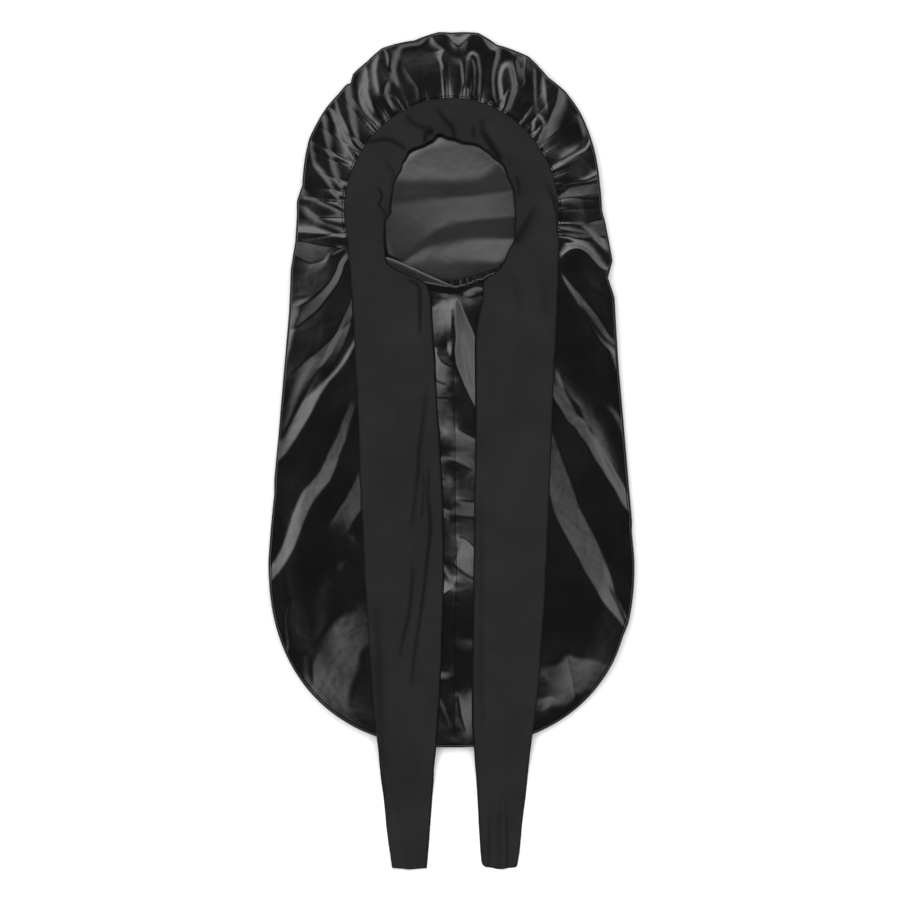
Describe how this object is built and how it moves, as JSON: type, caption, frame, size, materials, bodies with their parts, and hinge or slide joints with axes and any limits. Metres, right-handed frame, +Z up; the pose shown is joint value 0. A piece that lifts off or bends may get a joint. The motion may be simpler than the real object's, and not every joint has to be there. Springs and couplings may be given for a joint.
{
  "type": "sleep bonnet",
  "caption": "Long satin sleep bonnet lying flat, gathered to a stretch band whose ends run on as long ties.",
  "frame": {"origin": "on the surface that the bonnet lies on, under the middle of its whole box", "axes": "+Y along the length from the tie ends to the crown, +Z up out of the face opening, +X across"},
  "size_m": [0.3305, 0.7531, 0.0235],
  "materials": {
    "satin": "glossy black satin",
    "stretch_knit": "matte black stretch knit",
    "nape_elastic": "gathered black elastic casing"
  },
  "bodies": {
    "root": {"satin_bag": "satin", "tie_band": "stretch_knit", "nape_casing": "nape_elastic"}
  },
  "joints": []
}
